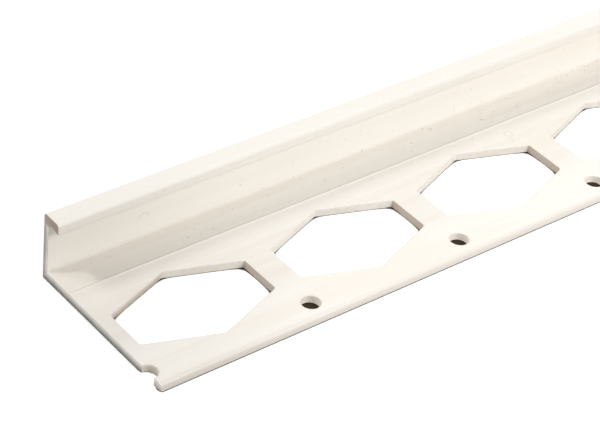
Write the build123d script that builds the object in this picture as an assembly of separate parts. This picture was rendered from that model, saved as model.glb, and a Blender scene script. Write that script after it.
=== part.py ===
from build123d import *
import os

# Plaster stop bead: one strip of extruded rigid PVC, sizes in millimetres.
# X runs along the strip, Y from the front edge of the flange to the stop wall,
# Z up from the underside of the flange. The middle of the strip is at X = 0.

# Punched pattern: one hexagon to each pitch and one nail hole in each web.
pitch = 25.0
pitch_count = 100
web_width = 4.3
hexagon_span = 13.9
hexagon_end_side = 6.5
hexagon_from_front = 10.8
nail_hole_diameter = 2.6
nail_hole_from_front = 2.9

# Section of the strip: flange, stop wall and the lip turned in over the flange.
section_width = 26.0
section_height = 10.0
flange_thickness = 1.2
wall_thickness = 1.0
lip_reach = 3.1
lip_thickness = 1.2
nose_height = 1.5
hook_tip_width = 0.4
hook_slope_width = 0.5

# Rounded edges of the section.
front_edge_radius = 1.0
heel_radius = 0.1
wall_root_radius = 0.25
crown_radius = 0.3
lip_root_radius = 1.0
nose_radius = 0.5
hook_radius = 0.15

# How far each punch reaches past the flange on both sides.
punch_clearance = 1.0

length = pitch * pitch_count
front_y = -section_width / 2
outer_y = section_width / 2
inner_y = outer_y - wall_thickness
nose_y = outer_y - lip_reach
tip_y = nose_y + hook_tip_width
hook_y = tip_y + hook_slope_width
lip_under_z = section_height - lip_thickness
nose_under_z = section_height - nose_height

# Corners of the section, each with its radius, starting at the front edge.
corners = [
    (front_y, 0.0, 0.0),
    (outer_y, 0.0, heel_radius),
    (outer_y, section_height, crown_radius),
    (nose_y, section_height, nose_radius),
    (nose_y, nose_under_z, hook_radius),
    (tip_y, nose_under_z, hook_radius),
    (hook_y, lip_under_z, 0.0),
    (inner_y, lip_under_z, lip_root_radius),
    (inner_y, flange_thickness, wall_root_radius),
    (front_y, flange_thickness, front_edge_radius),
]

outline = Polyline([(y, z) for y, z, radius in corners], close=True)
section = make_face(outline)
for y, z, radius in corners:
    if radius > 0:
        corner = section.vertices().sort_by_distance((y, z, 0))[0]
        section = fillet(corner, radius)

strip = extrude(Plane.YZ * section, amount=length / 2, both=True)

# A hexagon with two sides square to the strip and a point towards each edge.
hexagon_length = pitch - web_width
hexagon = make_face(
    Polyline(
        (-hexagon_length / 2, -hexagon_end_side / 2),
        (0, -hexagon_span / 2),
        (hexagon_length / 2, -hexagon_end_side / 2),
        (hexagon_length / 2, hexagon_end_side / 2),
        (0, hexagon_span / 2),
        (-hexagon_length / 2, hexagon_end_side / 2),
        close=True,
    )
)
punch_height = flange_thickness + 2 * punch_clearance
hexagon_punch = extrude(hexagon, amount=punch_height)
nail_punch = extrude(Circle(nail_hole_diameter / 2), amount=punch_height)

# Each end is cut through the middle of a web, so it keeps half a nail hole.
hexagon_y = front_y + hexagon_from_front
nail_y = front_y + nail_hole_from_front
punches = []
for index in range(pitch_count):
    x = (index + 0.5) * pitch - length / 2
    punches.append(Pos(x, hexagon_y, -punch_clearance) * hexagon_punch)
for index in range(pitch_count + 1):
    x = index * pitch - length / 2
    punches.append(Pos(x, nail_y, -punch_clearance) * nail_punch)

stop_bead = strip - punches

os.makedirs("parts", exist_ok=True)
export_step(stop_bead, "parts/stop_bead.step")
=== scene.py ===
import math

import bpy
import numpy as np
from mathutils import Matrix, Vector
from mathutils.geometry import delaunay_2d_cdt, tessellate_polygon


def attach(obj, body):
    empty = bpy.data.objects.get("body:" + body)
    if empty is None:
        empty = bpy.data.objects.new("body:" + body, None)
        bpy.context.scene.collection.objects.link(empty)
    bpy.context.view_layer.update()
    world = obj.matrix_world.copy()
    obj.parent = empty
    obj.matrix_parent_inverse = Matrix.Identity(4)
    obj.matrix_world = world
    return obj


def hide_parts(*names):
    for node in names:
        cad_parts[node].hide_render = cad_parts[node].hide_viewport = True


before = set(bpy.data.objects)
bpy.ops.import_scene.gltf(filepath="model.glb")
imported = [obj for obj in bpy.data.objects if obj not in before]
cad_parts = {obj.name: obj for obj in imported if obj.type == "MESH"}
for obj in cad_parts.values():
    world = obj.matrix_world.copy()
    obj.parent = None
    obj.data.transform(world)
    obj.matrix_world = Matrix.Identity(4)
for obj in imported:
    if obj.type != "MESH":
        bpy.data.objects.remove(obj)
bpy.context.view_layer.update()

# Sizes and places are in millimetres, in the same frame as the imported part.
MM = 0.001

# The strip's section. Y runs across it, from the front edge to the stop wall.
HALF_WIDTH = 13.0
HEIGHT = 10.0
FLANGE_TOP = 1.2
WALL_INNER_Y = 12.0
LIP_EDGE_Y = 9.9
NOSE_BACK_Y = 10.3
NOSE_UNDER = 8.5
HOOK_Y = 10.8
LIP_UNDER = 8.8

# The holes along it.
PITCH = 25.0
PITCH_COUNT = 100
HALF_LENGTH = PITCH * PITCH_COUNT / 2
NEAR_END = -HALF_LENGTH
HEX_HALF_X = 10.35
HEX_HALF_SIDE = 3.25
HEX_HALF_Y = 6.95
HEX_Y = -2.2
HEX_CORNER = 0.35
NAIL_R = 1.3
NAIL_Y = -10.1

# Between the nail holes' row and the hexagons' row.
ROW_GAP_Y = -8.5

# Radii of the eased edges: on top of a hole, under it, and round a sawn end.
EDGE_TOP = 0.20
EDGE_UNDER = 0.05
EDGE_END = 0.07
EDGE_END_STEPS = 3

# Section corners: y, z, radius, steps round the corner.
CORNERS = [
    (-HALF_WIDTH, 0.0, 0.10, 3),
    (HALF_WIDTH, 0.0, 0.10, 3),
    (HALF_WIDTH, HEIGHT, 0.30, 5),
    (LIP_EDGE_Y, HEIGHT, 0.50, 7),
    (LIP_EDGE_Y, NOSE_UNDER, 0.14, 4),
    (NOSE_BACK_Y, NOSE_UNDER, 0.14, 4),
    (HOOK_Y, LIP_UNDER, 0.10, 3),
    (WALL_INNER_Y, LIP_UNDER, 1.00, 8),
    (WALL_INNER_Y, FLANGE_TOP, 0.16, 4),
    (-HALF_WIDTH, FLANGE_TOP, 1.00, 10),
]
BOTTOM_FRONT, BOTTOM_BACK, FOLD, TOP_FRONT = 0, 1, 8, 9

# Low lengthwise ridge that the die leaves on the flange, with a groove behind it: y, height.
RIDGE = [
    (5.05, 0.0),
    (5.60, 0.008),
    (6.10, 0.022),
    (6.50, 0.045),
    (6.75, 0.070),
    (6.93, 0.115),
    (7.07, 0.085),
    (7.23, -0.045),
    (7.37, -0.055),
    (7.56, 0.0),
]
RIDGE_YS = [y for y, rise in RIDGE]
RIDGE_RISES = [rise for y, rise in RIDGE]
CREST_Y = 6.98
GROOVE_Y = 7.27
DIE_LINE_Y = 4.16

# The mesh is built in cells of one pitch, the first ones finer because the camera is close.
# A cell begins this far past a nail hole's centre, clear of the hole and of the next hexagon.
CELL_START = 1.72
FINE_CELLS = 7
FINE = {"corner": 8, "side": 6, "nail": 56, "top": 4, "under": 2}
COARSE = {"corner": 4, "side": 2, "nail": 24, "top": 2, "under": 1}

# Kinds of face, which the material tells apart.
PLAIN, PUNCHED, SAWN = 0, 1, 2

# A punched wall whose normal has less than this along the strip faces the near end.
END_SIDE_NORMAL = -0.75


def unit(vector):
    return vector / np.linalg.norm(vector)


def corner_arc(previous, here, following, radius, steps, grow=0.0):
    """Points round a corner with a radius, the whole arc moved outward by grow."""
    here = np.array(here)
    before = unit(np.array(previous) - here)
    after = unit(np.array(following) - here)
    half = math.acos(np.clip(before @ after, -1, 1)) / 2
    centre = here + unit(before + after) * radius / math.sin(half)
    start = here + before * radius / math.tan(half) - centre
    end = here + after * radius / math.tan(half) - centre
    first = math.atan2(start[1], start[0])
    turn = math.atan2(end[1], end[0]) - first
    turn = (turn + math.pi) % (2 * math.pi) - math.pi
    reach = radius + grow
    arc = []
    for k in range(steps + 1):
        angle = first + turn * k / steps
        arc.append((centre[0] + reach * math.cos(angle), centre[1] + reach * math.sin(angle)))
    return arc


def section_arcs():
    """The closed section outline, as one arc for each of its corners."""
    arcs = []
    for i, (y, z, radius, steps) in enumerate(CORNERS):
        previous = CORNERS[i - 1][:2]
        following = CORNERS[(i + 1) % len(CORNERS)][:2]
        arcs.append(corner_arc(previous, (y, z), following, radius, steps))
    return arcs


def hexagon(centre_x, grow, detail):
    """Hexagon outline with rounded corners, grown outward by grow, anticlockwise from above."""
    corners = [
        (HEX_HALF_X, -HEX_HALF_SIDE),
        (HEX_HALF_X, HEX_HALF_SIDE),
        (0.0, HEX_HALF_Y),
        (-HEX_HALF_X, HEX_HALF_SIDE),
        (-HEX_HALF_X, -HEX_HALF_SIDE),
        (0.0, -HEX_HALF_Y),
    ]
    arcs = []
    for i, here in enumerate(corners):
        following = corners[(i + 1) % 6]
        arcs.append(corner_arc(corners[i - 1], here, following, HEX_CORNER, detail["corner"], grow))
    outline = []
    for i, arc in enumerate(arcs):
        outline += arc
        (x0, y0), (x1, y1) = arc[-1], arcs[(i + 1) % 6][0]
        for k in range(1, detail["side"]):
            share = k / detail["side"]
            outline.append((x0 + (x1 - x0) * share, y0 + (y1 - y0) * share))
    return [(centre_x + x, HEX_Y + y) for x, y in outline]


def round_outline(centre_x, grow, first, last, steps, count):
    """Points of a nail hole's outline from one angle toward another."""
    outline = []
    for k in range(count):
        angle = first + (last - first) * k / steps
        x = centre_x + (NAIL_R + grow) * math.cos(angle)
        outline.append((x, NAIL_Y + (NAIL_R + grow) * math.sin(angle)))
    return outline


def nail_hole(centre_x, grow, detail):
    """Nail hole outline, grown outward by grow, anticlockwise from above."""
    return round_outline(centre_x, grow, 0.0, 2 * math.pi, detail["nail"], detail["nail"])


def half_nail_hole(x_cut, grow, detail):
    """What is left of the nail hole at a sawn end, up to where the cut's eased edge begins."""
    inward = 1 if x_cut < 0 else -1
    lean = math.asin(EDGE_END / (NAIL_R + grow))
    middle = 0.0 if inward > 0 else math.pi
    first, last = middle - math.pi / 2 + lean, middle + math.pi / 2 - lean
    steps = detail["nail"] // 2
    return round_outline(x_cut - inward * EDGE_END, grow, first, last, steps, steps + 1)


def inside(x, y, outline):
    hit = False
    for k in range(len(outline)):
        (x0, y0), (x1, y1) = outline[k - 1], outline[k]
        if (y0 > y) != (y1 > y) and x < (x1 - x0) * (y - y0) / (y1 - y0) + x0:
            hit = not hit
    return hit


def top_height(y):
    """Height of the flange's upper face, with the ridge."""
    return FLANGE_TOP + float(np.interp(y, RIDGE_YS, RIDGE_RISES))


def under_height(y):
    return 0.0


def eased_levels(detail):
    """Down a punched wall: how far the hole's outline is grown, and at what height."""
    levels = []
    for k in range(detail["top"] + 1):
        angle = math.pi / 2 * k / detail["top"]
        levels.append((EDGE_TOP * (1 - math.sin(angle)), FLANGE_TOP - EDGE_TOP * (1 - math.cos(angle))))
    for k in range(detail["under"] + 1):
        angle = math.pi / 2 * k / detail["under"]
        levels.append((EDGE_UNDER * (1 - math.cos(angle)), EDGE_UNDER * (1 - math.sin(angle))))
    return levels


class StripMesh:
    """Collects points and faces in millimetres, joining points that fall together."""

    def __init__(self):
        self.points = []
        self.numbers = {}
        self.faces = []
        self.kinds = []

    def point(self, x, y, z):
        key = (round(x, 4), round(y, 4), round(z, 4))
        if key not in self.numbers:
            self.numbers[key] = len(self.points)
            self.points.append((x, y, z))
        return self.numbers[key]

    def face(self, ids, kind):
        ids = [v for k, v in enumerate(ids) if v != ids[k - 1]]
        if len(ids) >= 3:
            self.faces.append(ids)
            self.kinds.append(kind)

    def band(self, low, high, kind, closed=True):
        """Four-sided faces between two rows of points."""
        count = len(low)
        for k in range(count if closed else count - 1):
            m = (k + 1) % count
            self.face([low[k], low[m], high[m], high[k]], kind)

    def hole_wall(self, outline_at, detail, closed=True):
        """The wall of a punched hole with its eased edges. outline_at(grow) gives its outline."""
        rings = []
        for grow, z in eased_levels(detail):
            rings.append([self.point(x, y, z) for x, y in outline_at(grow)])
        for upper, lower in zip(rings, rings[1:]):
            self.band(upper, lower, PUNCHED, closed)

    def panel(self, border, lines, holes, height, upward):
        """Fills one face of the flange between its border, its lengthwise lines and its holes."""
        points, edges = [], []
        outlines = [(border, True)]
        outlines += [(line, False) for line in lines]
        outlines += [(hole, True) for hole in holes]
        for outline, closed in outlines:
            base, count = len(points), len(outline)
            points.extend(outline)
            edges.extend((base + k, base + (k + 1) % count) for k in range(count if closed else count - 1))
        filled = delaunay_2d_cdt([Vector(p) for p in points], edges, [], 0, 1e-6)
        # Each point comes back with the numbers of the points it was made from, which are exact.
        exact = [points[sources[0]] for sources in filled[3]]
        for triangle in filled[2]:
            (x0, y0), (x1, y1), (x2, y2) = (exact[v] for v in triangle)
            middle = ((x0 + x1 + x2) / 3, (y0 + y1 + y2) / 3)
            if not inside(*middle, border) or any(inside(*middle, hole) for hole in holes):
                continue
            ids = [self.point(x, y, height(y)) for x, y in (exact[v] for v in triangle)]
            turns_up = (x1 - x0) * (y2 - y0) - (x2 - x0) * (y1 - y0) > 0
            self.face(ids if turns_up == upward else ids[::-1], PLAIN)


ARCS = section_arcs()
BACK_OUTLINE = [place for arc in ARCS[BOTTOM_BACK : FOLD + 1] for place in arc]
FRONT_OUTLINE = ARCS[TOP_FRONT] + ARCS[BOTTOM_FRONT]


def add_stretch(strip, x0, x1, detail, hexes, nails, cuts):
    """One stretch of the strip from x0 to x1, with the holes in it and its sawn ends, if any."""
    for outline in (BACK_OUTLINE, FRONT_OUTLINE):
        low = [strip.point(x0, y, z) for y, z in outline]
        high = [strip.point(x1, y, z) for y, z in outline]
        strip.band(low, high, PLAIN, closed=False)
    for cut in cuts:
        strip.hole_wall(lambda grow: half_nail_hole(cut, grow, detail), detail, closed=False)
    for x in hexes:
        strip.hole_wall(lambda grow: hexagon(x, grow, detail), detail)
    for x in nails:
        strip.hole_wall(lambda grow: nail_hole(x, grow, detail), detail)

    top = (ARCS[TOP_FRONT][0][0], ARCS[FOLD][-1][0], RIDGE_YS, EDGE_TOP, top_height, True)
    under = (ARCS[BOTTOM_FRONT][-1][0], ARCS[BOTTOM_BACK][0][0], [], EDGE_UNDER, under_height, False)
    for front, back, ys, grow, height, upward in (top, under):
        border = [(x0, front), (x1, front)]
        if x1 in cuts:
            border += half_nail_hole(x1, grow, detail)[::-1]
        border += [(x1, y) for y in ys] + [(x1, back), (x0, back)] + [(x0, y) for y in ys[::-1]]
        if x0 in cuts:
            border += half_nail_hole(x0, grow, detail)[::-1]
        lines = [[(x0, y), (x1, y)] for y in ys]
        holes = [hexagon(x, grow, detail) for x in hexes] + [nail_hole(x, grow, detail) for x in nails]
        strip.panel(border, lines, holes, height, upward)


def inward_steps(ring):
    """For each point of a closed ring, the step that moves its outline inward by one."""
    before = ring - np.roll(ring, 1, 0)
    after = np.roll(ring, -1, 0) - ring
    before /= np.linalg.norm(before, axis=1)[:, None]
    after /= np.linalg.norm(after, axis=1)[:, None]
    normal_before = np.stack((-before[:, 1], before[:, 0]), 1)
    normal_after = np.stack((-after[:, 1], after[:, 0]), 1)
    step = normal_before + normal_after
    step /= np.linalg.norm(step, axis=1)[:, None]
    return step / np.clip((step * normal_before).sum(1), 0.5, 1)[:, None]


def add_sawn_end(strip, x_cut, outward, detail):
    """Closes a sawn end with two faces, one each side of the half nail hole, with eased edges."""

    def notch(side):
        reach = [(math.sqrt((NAIL_R + grow) ** 2 - EDGE_END**2), z) for grow, z in eased_levels(detail)]
        return [(NAIL_Y + side * across, z) for across, z in reach]

    ridge = [(y, top_height(y)) for y in RIDGE_YS[::-1]]
    for outline in (BACK_OUTLINE + ridge + notch(1), FRONT_OUTLINE + notch(-1)[::-1]):
        ring = np.array(outline)
        step = inward_steps(ring)
        rings = []
        for k in range(EDGE_END_STEPS + 1):
            angle = math.pi / 2 * k / EDGE_END_STEPS
            x = x_cut + outward * EDGE_END * math.sin(angle)
            eased = ring + step * EDGE_END * (1 - math.cos(angle))
            rings.append([strip.point(x, y, z) for y, z in eased])
        for outer, inner in zip(rings, rings[1:]):
            pair = (outer, inner) if outward > 0 else (inner, outer)
            strip.band(*pair, SAWN)
        flat_ring = [Vector((0, *strip.points[i][1:])) for i in rings[-1]]
        for triangle in tessellate_polygon([flat_ring]):
            ids = [rings[-1][i] for i in triangle]
            p0, p1, p2 = (np.array(strip.points[i]) for i in ids)
            faces_out = np.cross(p1 - p0, p2 - p0)[0] * outward > 0
            strip.face(ids if faces_out else ids[::-1], SAWN)


def build_strip():
    strip = StripMesh()
    near_cut, far_cut = -HALF_LENGTH + EDGE_END, HALF_LENGTH - EDGE_END
    add_stretch(strip, near_cut, NEAR_END + CELL_START, FINE, [], [], [near_cut])
    for index in range(PITCH_COUNT):
        left = NEAR_END + index * PITCH
        hexes = [left + PITCH / 2]
        detail = FINE if index < FINE_CELLS else COARSE
        if index < PITCH_COUNT - 1:
            nails = [left + PITCH]
            add_stretch(strip, left + CELL_START, left + PITCH + CELL_START, detail, hexes, nails, [])
        else:
            add_stretch(strip, left + CELL_START, far_cut, detail, hexes, [], [far_cut])
    add_sawn_end(strip, near_cut, -1, FINE)
    add_sawn_end(strip, far_cut, 1, COARSE)
    return strip


def area_normals(points, faces):
    """Point normals weighted by face area, so flats stay flat beside their eased edges."""
    normals = np.zeros_like(points)
    for ids in faces:
        p = points[ids]
        total = np.zeros(3)
        for k in range(1, len(ids) - 1):
            total += np.cross(p[k] - p[0], p[k + 1] - p[0])
        for i in ids:
            normals[i] += total
    return normals / np.maximum(np.linalg.norm(normals, axis=1), 1e-12)[:, None]


def face_vectors(mesh, name):
    values = np.zeros(len(mesh.polygons) * 3)
    mesh.polygons.foreach_get(name, values)
    return values.reshape(-1, 3)


def strip_object(strip):
    """The strip as a Blender object, with its punched and sawn faces marked, and the punched hexagon walls
    that face the near end marked for painted shade.
    """
    points = np.array(strip.points)
    mesh = bpy.data.meshes.new("bead_strip")
    mesh.from_pydata([tuple(p) for p in points * MM], [], strip.faces)
    mesh.update()
    mesh.polygons.foreach_set("use_smooth", np.ones(len(mesh.polygons), bool))
    mesh.normals_split_custom_set_from_vertices([tuple(n) for n in area_normals(points, strip.faces)])
    kinds = np.array(strip.kinds)
    toward_near_end = face_vectors(mesh, "normal")[:, 0] < END_SIDE_NORMAL
    in_hexagon = face_vectors(mesh, "center")[:, 1] > (ROW_GAP_Y + 0.5) * MM
    marks = {
        "punched": kinds == PUNCHED,
        "sawn": kinds == SAWN,
        "painted_shade_side": (kinds == PUNCHED) & toward_near_end & in_hexagon,
    }
    for name, chosen in marks.items():
        attribute = mesh.attributes.new(name, "FLOAT", "FACE")
        attribute.data.foreach_set("value", chosen.astype(np.float32))
    return bpy.data.objects.new("bead_strip", mesh)


# Colours, linear.
WHITE = (1.0, 1.0, 1.0, 1.0)
CREAM = (0.856, 0.818, 0.754, 1.0)
CREAM_LIGHT = (0.876, 0.843, 0.784, 1.0)
STREAK = (0.815, 0.764, 0.690, 1.0)
HAIRLINE = (0.76, 0.71, 0.64, 1.0)
# Painted highlight.
PAINTED_HIGHLIGHT = (0.950, 0.920, 0.868, 1.0)
SPECK = (0.30, 0.235, 0.17, 1.0)
# Painted shade, with some dust.
SHADE_AND_DUST_FILM = (0.42, 0.37, 0.32, 1.0)
FIBRE = (0.30, 0.24, 0.18, 1.0)
PUNCHED_GRAIN = (0.72, 0.63, 0.55, 1.0)
WALL_SHADE_AND_DARKENING = (0.40, 0.312, 0.235, 1.0)
FRESH_CUT = (0.950, 0.935, 0.890, 1.0)
END_GREY = (0.155, 0.160, 0.152, 1.0)
END_BROWN = (0.225, 0.140, 0.090, 1.0)
FLOOR_BOUNCE = (0.58, 0.56, 0.53, 1.0)
PAINTED_FLOOR_SHADE = (0.05, 0.036, 0.026, 1.0)

# Hairs and fibres, each an arc of a circle: the surface it lies on, its centre as the distance
# from the near end and then y or, on the wall, z, its radius, half its thickness, and for part
# of a circle the direction from the centre to its middle and half its angle in degrees.
HAIRS = [
    ("flange", (72.17, 4.58), 0.60, 0.10, None, 0.0),
    ("flange", (70.67, 3.29), 1.05, 0.10, (0.966, -0.26), 30.0),
    ("wall", (14.58, 4.14), 0.75, 0.11, (0.0, 1.0), 75.0),
    ("wall", (68.59, 2.44), 0.45, 0.09, (-1.0, 0.0), 60.0),
    ("flange", (87.67, 10.07), 0.62, 0.10, (0.3, 0.954), 70.0),
    ("flange", (77.89, 10.69), 0.80, 0.09, (0.5, 0.866), 50.0),
    ("flange", (63.22, 11.20), 0.20, 0.16, None, 0.0),
    ("flange", (72.73, 11.36), 0.40, 0.09, (-0.6, -0.8), 80.0),
    ("flange", (66.59, 6.68), 0.50, 0.08, (0.5, -0.866), 45.0),
    ("flange", (73.24, -1.71), 0.0, 0.26, None, 0.0),
    ("flange", (46.10, 2.36), 0.0, 0.16, None, 0.0),
]


class Nodes:
    """Adds nodes to a tree and links them."""

    def __init__(self, tree):
        self.tree = tree
        tree.nodes.clear()

    def add(self, kind, inputs=None, **settings):
        node = self.tree.nodes.new(kind)
        for key, value in settings.items():
            setattr(node, key, value)
        for key, value in (inputs or {}).items():
            if isinstance(value, bpy.types.NodeSocket):
                self.tree.links.new(value, node.inputs[key])
            else:
                node.inputs[key].default_value = value
        return node

    def math(self, operation, a, b=0.0, clamp=False):
        return self.add("ShaderNodeMath", {0: a, 1: b}, operation=operation, use_clamp=clamp).outputs[0]

    def combined(self, operation, values):
        result = values[0]
        for value in values[1:]:
            result = self.math(operation, result, value)
        return result

    def product(self, *values):
        return self.combined("MULTIPLY", values)

    def total(self, *values):
        return self.combined("ADD", values)

    def largest(self, *values):
        return self.combined("MAXIMUM", values)

    def ramp(self, value, first, last, low=0.0, high=1.0):
        """Runs smoothly from low to high while the value goes from first to last."""
        span = {"Value": value, "From Min": first, "From Max": last, "To Min": low, "To Max": high}
        return self.add("ShaderNodeMapRange", span, interpolation_type="SMOOTHSTEP").outputs["Result"]

    def tint(self, amount, base, colour):
        """Mixes a colour over a base."""
        return self.add("ShaderNodeMix", {0: amount, 6: base, 7: colour}, data_type="RGBA").outputs[2]

    def seen_directly(self):
        """1 for rays from the camera and rays that gloss or glass sends on."""
        path = self.add("ShaderNodeLightPath").outputs
        seen = self.math("ADD", path["Is Camera Ray"], path["Is Glossy Ray"], clamp=True)
        return self.math("ADD", seen, path["Is Transmission Ray"], clamp=True)


class Places(Nodes):
    """Nodes that go by place on the object, with places and sizes in millimetres."""

    def __init__(self, tree):
        super().__init__(tree)
        self.where = self.add("ShaderNodeTexCoord").outputs["Object"]
        self.x, self.y, self.z = self.add("ShaderNodeSeparateXYZ", {0: self.where}).outputs

    def place(self, axis, first, last, low=0.0, high=1.0):
        """Runs smoothly from low to high between two places on an axis."""
        return self.ramp(axis, first * MM, last * MM, low, high)

    def from_end(self, first, last, low=0.0, high=1.0):
        """The same along the strip, in distances from the near sawn end."""
        return self.place(self.x, NEAR_END + first, NEAR_END + last, low, high)

    def line(self, y, outer, inner, strength=1.0):
        """A lengthwise line with soft sides."""
        away = self.math("ABSOLUTE", self.math("SUBTRACT", self.y, y * MM))
        return self.place(away, outer, inner, 0.0, strength)


class Skin(Places):
    """Nodes that paint the strip."""

    def __init__(self, tree):
        super().__init__(tree)
        # Not on the back face of the stop wall, and then either on the flange or above it.
        inner = self.place(self.y, HALF_WIDTH - 0.4, HALF_WIDTH - 0.6)
        above, level = FLANGE_TOP + 0.30, FLANGE_TOP + 0.14
        self.on_flange = self.product(self.place(self.z, above, level), inner)
        self.on_wall = self.product(self.place(self.z, level, above), inner)

    def marked(self, name):
        """1 on the faces that carry this mark in the mesh."""
        return self.add("ShaderNodeAttribute", attribute_name=name).outputs["Fac"]

    def noise(self, scale, stretch_x, detail, rough, shift, distort=0.0):
        """Noise drawn out along the strip where stretch_x is below 1."""
        location = (shift, shift * 0.37, shift * 0.11)
        placing = {"Vector": self.where, "Location": location, "Scale": (stretch_x, 1.0, 1.0)}
        placed = self.add("ShaderNodeMapping", placing).outputs[0]
        settings = {"Vector": placed, "Scale": scale, "Detail": detail, "Roughness": rough}
        return self.add("ShaderNodeTexNoise", {**settings, "Distortion": distort}).outputs["Fac"]

    def specks(self, scale, radius, share, shift):
        """Round specks of uneven strength, in this share of the cells of a Voronoi pattern."""
        placing = {"Vector": self.where, "Location": (shift, shift, shift)}
        placed = self.add("ShaderNodeMapping", placing).outputs[0]
        cells = self.add("ShaderNodeTexVoronoi", {"Vector": placed, "Scale": scale}, feature="F1").outputs
        chance = self.add("ShaderNodeSeparateColor", {0: cells["Color"]}).outputs
        dot = self.ramp(cells["Distance"], radius, radius * 0.45)
        strength = self.ramp(chance[1], 0.0, 1.0, 0.45, 1.35)
        return self.product(dot, strength, self.math("LESS_THAN", chance[0], share))

    def hair(self, surface, centre, radius, thick, toward, half_turn):
        """A hair as one row of HAIRS gives it."""
        across, on_surface = (self.y, self.on_flange) if surface == "flange" else (self.z, self.on_wall)
        along_offset = self.math("SUBTRACT", self.x, (NEAR_END + centre[0]) * MM)
        across_offset = self.math("SUBTRACT", across, centre[1] * MM)
        offset = self.add("ShaderNodeCombineXYZ", {0: along_offset, 1: across_offset}).outputs[0]
        reach = self.add("ShaderNodeVectorMath", {0: offset}, operation="LENGTH").outputs["Value"]
        away = self.math("ABSOLUTE", self.math("SUBTRACT", reach, radius * MM))
        arc = self.place(away, thick, thick * 0.4)
        if toward:
            direction = {0: offset, 1: (*toward, 0.0)}
            turn = self.add("ShaderNodeVectorMath", direction, operation="DOT_PRODUCT").outputs["Value"]
            turn = self.math("DIVIDE", turn, self.math("MAXIMUM", reach, 0.01 * MM))
            limit = math.cos(math.radians(half_turn))
            arc = self.product(arc, self.ramp(turn, limit - 0.05, limit + 0.05))
        return self.product(arc, on_surface)


def new_material(name):
    material = bpy.data.materials.new(name)
    material.use_nodes = True
    return material


def plastic(s, streaks, fine_lines):
    """The cream plastic, with flow streaks and fine lines that are plainest on the flange."""
    clouds = s.noise(38.0, 0.5, 3.0, 0.5, 0.29)
    colour = s.tint(s.ramp(clouds, 0.35, 0.68), CREAM, CREAM_LIGHT)
    plainness = s.place(s.z, FLANGE_TOP + 0.4, FLANGE_TOP, 0.35, 1.0)
    colour = s.tint(s.product(s.ramp(streaks, 0.45, 0.64, 0.0, 0.58), plainness), colour, STREAK)
    return s.tint(s.product(s.ramp(fine_lines, 0.54, 0.72, 0.0, 0.14), plainness), colour, HAIRLINE)


def dust(s):
    """Specks over the whole strip, with more of them in the corner behind the ridge."""
    scattered = s.total(s.specks(420.0, 0.055, 0.05, 0.0), s.specks(900.0, 0.10, 0.03, 0.31))
    gathered = s.total(s.specks(1500.0, 0.22, 0.24, 0.53), s.specks(780.0, 0.15, 0.22, 0.87))
    behind_ridge = s.place(s.y, 6.7, 7.4, 0.12, 1.0)
    low_on_wall = s.place(s.z, 6.0, 1.8, 0.30, 1.0)
    not_outside = s.place(s.y, HALF_WIDTH - 0.4, HALF_WIDTH - 0.6, 0.12, 1.0)
    past_end = s.from_end(4.0, 28.0, 0.35, 1.0)
    gathered = s.product(gathered, behind_ridge, low_on_wall, not_outside, past_end)
    return s.math("ADD", s.product(scattered, 0.22), s.product(gathered, 0.42), clamp=True)


def shade_and_dust_films(s):
    """Thin films of painted shade, with some dust in the corner behind the ridge, and darkening across the
    hexagon row and towards the near end.
    """
    # Painted shade in the shadowed band between the ridge and the fold, with some dust.
    corner = s.product(s.place(s.y, 6.95, 7.5, 0.0, 0.125), s.on_flange)
    # Painted shade in the groove behind the ridge.
    groove = s.product(s.line(GROOVE_Y, 0.24, 0.11, 0.19), s.from_end(3.5, 6.0, 0.25, 1.0), s.on_flange)
    # Painted shade in front of the ridge, where the wall's shadow thins out.
    before_ridge = s.product(s.place(s.y, 4.4, 6.7, 0.0, 0.17), s.place(s.y, 6.84, 6.70))
    before_ridge = s.product(before_ridge, s.from_end(2.5, 6.5, 0.5, 1.0))
    # Painted shade over the lit back of the crest, near the near end.
    crest_near_end_shade = s.product(s.line(CREST_Y - 0.01, 0.17, 0.07, 0.13), s.from_end(6.0, 3.2), s.on_flange)
    # Painted shade on the nose and the crown of the lip, over their highlight.
    nose = s.place(s.y, LIP_EDGE_Y + 0.40, LIP_EDGE_Y + 0.15, 0.0, 0.08)
    nose = s.product(nose, s.place(s.z, NOSE_UNDER - 0.2, NOSE_UNDER))
    crown = s.place(s.y, LIP_EDGE_Y + 0.44, LIP_EDGE_Y + 0.20, 0.0, 0.09)
    crown = s.product(crown, s.place(s.z, HEIGHT - 0.45, HEIGHT - 0.15))
    # Painted shade on the rounded front edge, which turns away from the light.
    front_edge = s.place(s.y, -HALF_WIDTH + 1.0, -HALF_WIDTH + 0.15, 0.0, 0.33)
    # Darker across the hexagon row, less so towards the ridge.
    webs = s.product(s.place(s.y, ROW_GAP_Y, -3.0, 0.0, 0.14), s.place(s.y, 0.5, 5.9, 1.0, 0.25))
    webs = s.product(webs, s.place(s.z, FLANGE_TOP - 0.22, FLANGE_TOP - 0.06), s.place(s.y, 6.8, 6.5))
    # Darker towards the near end, least on the lip top.
    near_end_darkening = s.product(s.from_end(33.0, 0.0, 0.0, 0.21), s.place(s.z, HEIGHT - 0.6, HEIGHT - 0.1, 1.0, 0.4))
    return s.total(corner, groove, before_ridge, crest_near_end_shade, nose, crown, front_edge, webs, near_end_darkening)


def painted_highlights(s):
    """Painted highlights: a lit line along the crest of the ridge, and painted bounce light on the foot of
    the wall.
    """
    crest = s.product(s.line(CREST_Y, 0.16, 0.07, 0.26), s.from_end(3.0, 9.0), s.on_flange)
    foot = s.place(s.z, 5.6, 1.6, 0.0, 0.42)
    foot = s.product(foot, s.place(s.y, WALL_INNER_Y - 0.3, WALL_INNER_Y - 0.1), s.on_wall)
    return s.largest(crest, foot)


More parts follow.
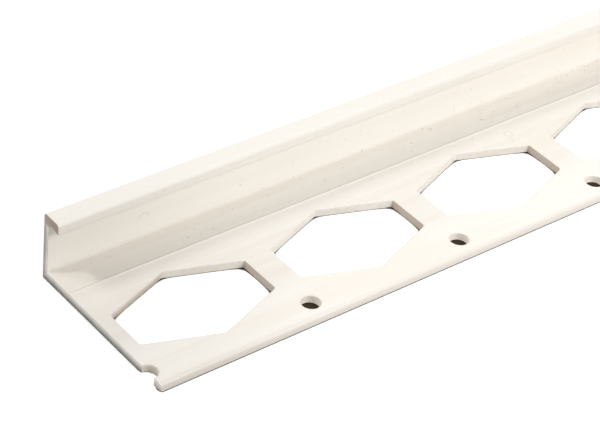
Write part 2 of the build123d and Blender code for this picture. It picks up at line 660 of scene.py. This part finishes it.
def die_mark(s):
    """Line that the die draws along the flange, cut by the points of the hexagons, with a painted highlight
    along it.
    """
    on_top = s.place(s.z, FLANGE_TOP - 0.10, FLANGE_TOP - 0.02)
    return s.product(s.line(DIE_LINE_Y, 0.13, 0.04), on_top, s.from_end(2.0, 11.0, 0.1, 1.0))


def end_darkening(s):
    """How dark an end is painted: from light to dark outward through its thickness."""
    under = s.place(s.z, FLANGE_TOP - 0.02, 0.02, 0.0, 0.88)
    outer = s.place(s.y, WALL_INNER_Y, HALF_WIDTH - 0.15, 0.04, 0.66)
    lip = s.place(s.z, 8.0, 8.9, 0.0, 0.73)
    patches = s.ramp(s.noise(300.0, 1.0, 3.0, 0.55, 0.91), 0.3, 0.7, -0.05, 0.07)
    amount = s.math("ADD", s.largest(under, outer, lip), patches, clamp=True)
    return s.product(amount, s.place(s.y, -11.8, -11.0, 0.5, 1.0))


def pvc_material():
    material = new_material("cream_pvc")
    s = Skin(material.node_tree)
    punched, sawn = s.marked("punched"), s.marked("sawn")
    streaks = s.noise(420.0, 0.055, 2.0, 0.45, 0.13, 0.35)
    fine_lines = s.noise(2600.0, 0.012, 2.0, 0.5, 0.71)
    grain = s.noise(1500.0, 1.0, 4.0, 0.6, 0.43)
    dirt = dust(s)
    die_line = die_mark(s)

    colour = plastic(s, streaks, fine_lines)
    colour = s.tint(dirt, colour, SPECK)
    # Painted shade, with some dust, in thin films.
    colour = s.tint(shade_and_dust_films(s), colour, SHADE_AND_DUST_FILM)
    # Painted highlights on the crest of the ridge and on the foot of the wall.
    colour = s.tint(painted_highlights(s), colour, PAINTED_HIGHLIGHT)
    hairs = s.largest(*(s.hair(*row) for row in HAIRS))
    colour = s.tint(s.product(hairs, 0.22), colour, FIBRE)
    # Painted highlight along the die line.
    colour = s.tint(s.product(die_line, 0.34), colour, PAINTED_HIGHLIGHT)

    # Punched walls are grainy. Walls that face the near end get painted shade, and round the near half of
    # the first hexagon the walls are darker towards the bottom.
    colour = s.tint(s.product(punched, s.ramp(grain, 0.38, 0.62, 0.02, 0.34)), colour, PUNCHED_GRAIN)
    # Painted shade on the punched hexagon walls that face the near end.
    colour = s.tint(s.product(s.marked("painted_shade_side"), 0.66), colour, WALL_SHADE_AND_DARKENING)
    half_pitch = PITCH / 2
    first_wall = s.from_end(half_pitch + 0.3, half_pitch - 0.5)
    first_wall = s.product(first_wall, s.place(s.z, FLANGE_TOP - 0.08, 0.45, 0.0, 0.62))
    first_wall = s.product(first_wall, s.place(s.y, ROW_GAP_Y, ROW_GAP_Y + 0.5, 0.5, 1.0))
    colour = s.tint(s.product(punched, first_wall), colour, WALL_SHADE_AND_DARKENING)

    # Sawn ends are pale, under a darkening that is grey below and brown at the lip.
    colour = s.tint(s.product(sawn, 0.5), colour, FRESH_CUT)
    end_colour = s.tint(s.place(s.z, 7.0, 8.6), END_GREY, END_BROWN)
    colour = s.tint(s.product(sawn, end_darkening(s)), colour, end_colour)

    height = s.total(
        s.product(fine_lines, 0.55),
        s.product(streaks, 0.8),
        s.product(die_line, 1.6),
        s.product(dirt, 0.6),
        s.product(grain, punched, 4.0),
        s.product(grain, sawn, 5.0),
    )
    bump = s.add("ShaderNodeBump", {"Height": height, "Distance": 0.02 * MM, "Strength": 0.6})
    roughness = s.total(s.ramp(fine_lines, 0.3, 0.7, 0.36, 0.46), s.product(punched, 0.15))
    roughness = s.math("ADD", roughness, s.product(sawn, 0.35), clamp=True)
    surface = {"Base Color": colour, "Roughness": roughness, "Normal": bump.outputs[0], "IOR": 1.5}
    shader = s.add("ShaderNodeBsdfPrincipled", surface)
    s.add("ShaderNodeOutputMaterial", {"Surface": shader.outputs[0]})
    return material


def floor_material():
    """White floor with the strip's shadow, and painted shade from an occlusion test close under the punched
    edges and in the nail holes.
    """
    material = new_material("floor_white")
    s = Places(material.node_tree)
    close = s.add("ShaderNodeAmbientOcclusion", {"Distance": 3.2 * MM}, samples=32).outputs["AO"]
    under_hexagons = s.place(s.y, ROW_GAP_Y - 0.4, ROW_GAP_Y, 0.0, 0.05)
    under_nails = s.product(s.place(s.y, -12.1, -11.7), s.place(s.y, ROW_GAP_Y, ROW_GAP_Y - 0.4))
    half_or_whole = s.from_end(1.4, 2.0, 0.20, -0.12)
    opening = s.total(close, under_hexagons, s.product(under_nails, half_or_whole))
    open_share = s.ramp(opening, 0.55, 0.605)
    # Painted shade: the floor's colour turns dark where the occlusion test finds it closed in.
    lit = s.add("ShaderNodeBsdfDiffuse", {"Color": s.tint(open_share, PAINTED_FLOOR_SHADE, WHITE)})
    glow = s.add("ShaderNodeEmission", {"Color": WHITE, "Strength": s.product(open_share, 0.25)})
    shown = s.add("ShaderNodeAddShader", {0: lit.outputs[0], 1: glow.outputs[0]})
    bounce = s.add("ShaderNodeBsdfDiffuse", {"Color": FLOOR_BOUNCE})
    mix = s.add("ShaderNodeMixShader", {0: s.seen_directly(), 1: bounce.outputs[0], 2: shown.outputs[0]})
    s.add("ShaderNodeOutputMaterial", {"Surface": mix.outputs[0]})
    return material


def floor_object():
    half, below = 30.0, -0.00002
    corners = [(-half, -half, below), (half, -half, below), (half, half, below), (-half, half, below)]
    mesh = bpy.data.meshes.new("floor")
    mesh.from_pydata(corners, [], [(0, 1, 2, 3)])
    return bpy.data.objects.new("floor", mesh)


def studio_world():
    """White to the camera, even and soft for the object."""
    world = bpy.data.worlds.new("studio")
    world.use_nodes = True
    n = Nodes(world.node_tree)
    ambient = n.add("ShaderNodeBackground", {"Color": WHITE, "Strength": 0.385})
    white = n.add("ShaderNodeBackground", {"Color": WHITE, "Strength": 1.0})
    mix = n.add("ShaderNodeMixShader", {0: n.seen_directly(), 1: ambient.outputs[0], 2: white.outputs[0]})
    n.add("ShaderNodeOutputWorld", {"Surface": mix.outputs[0]})
    return world


def add_lamp(name, kind, source, energy):
    """A lamp whose light comes from the direction source."""
    lamp = bpy.data.lights.new(name, kind)
    lamp.energy = energy
    lamp_object = bpy.data.objects.new(name, lamp)
    lamp_object.rotation_mode = "QUATERNION"
    lamp_object.rotation_quaternion = Vector(source).normalized().to_track_quat("Z", "Y")
    bpy.context.scene.collection.objects.link(lamp_object)
    return lamp_object


def sun(name, source, energy, angle):
    add_lamp(name, "SUN", source, energy).data.angle = math.radians(angle)


def softbox(name, place, source, size, energy):
    """A rectangular lamp. Its place and size are in metres."""
    box = add_lamp(name, "AREA", source, energy)
    box.data.shape = "RECTANGLE"
    box.data.size, box.data.size_y = size
    box.location = place
    box.visible_camera = False


# The camera fitted to the photo: its place in millimetres, where it looks in degrees, its lens.
CAMERA_PLACE = (-1373.29, -170.73, 178.19)
CAMERA_HEADING = 47.9464
CAMERA_DIP = 37.0209
CAMERA_ROLL = 6.6540
FOCAL_PIXELS = 2234.2
PHOTO_WIDTH = 600.0
SENSOR_WIDTH = 36.0


def photo_camera():
    data = bpy.data.cameras.new("camera")
    data.sensor_width = SENSOR_WIDTH
    data.lens = SENSOR_WIDTH * FOCAL_PIXELS / PHOTO_WIDTH
    data.clip_start = 0.01
    data.clip_end = 100.0
    camera = bpy.data.objects.new("camera", data)
    turn = Matrix.Rotation(math.radians(CAMERA_HEADING - 90.0), 4, "Z")
    tip = Matrix.Rotation(math.radians(90.0 - CAMERA_DIP), 4, "X")
    roll = Matrix.Rotation(math.radians(CAMERA_ROLL), 4, "Z")
    camera.matrix_world = Matrix.Translation(Vector(CAMERA_PLACE) * MM) @ turn @ tip @ roll
    return camera


scene = bpy.context.scene

strip = strip_object(build_strip())
scene.collection.objects.link(strip)
strip.data.materials.append(pvc_material())
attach(strip, "root")
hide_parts("stop_bead")

floor = floor_object()
scene.collection.objects.link(floor)
floor.data.materials.append(floor_material())

scene.world = studio_world()
sun("key", (-0.6, 0.335, 1.0), 0.58, 4.0)
sun("key_behind", (-0.6, 0.66, 1.0), 0.90, 26.0)
softbox("front_box", (-1.13, -0.20, 0.18), (0.0, -0.75, 0.65), (0.16, 0.10), 0.54)

camera = photo_camera()
scene.collection.objects.link(camera)
bpy.context.scene.camera = camera
bpy.context.scene.view_settings.view_transform = "Standard"
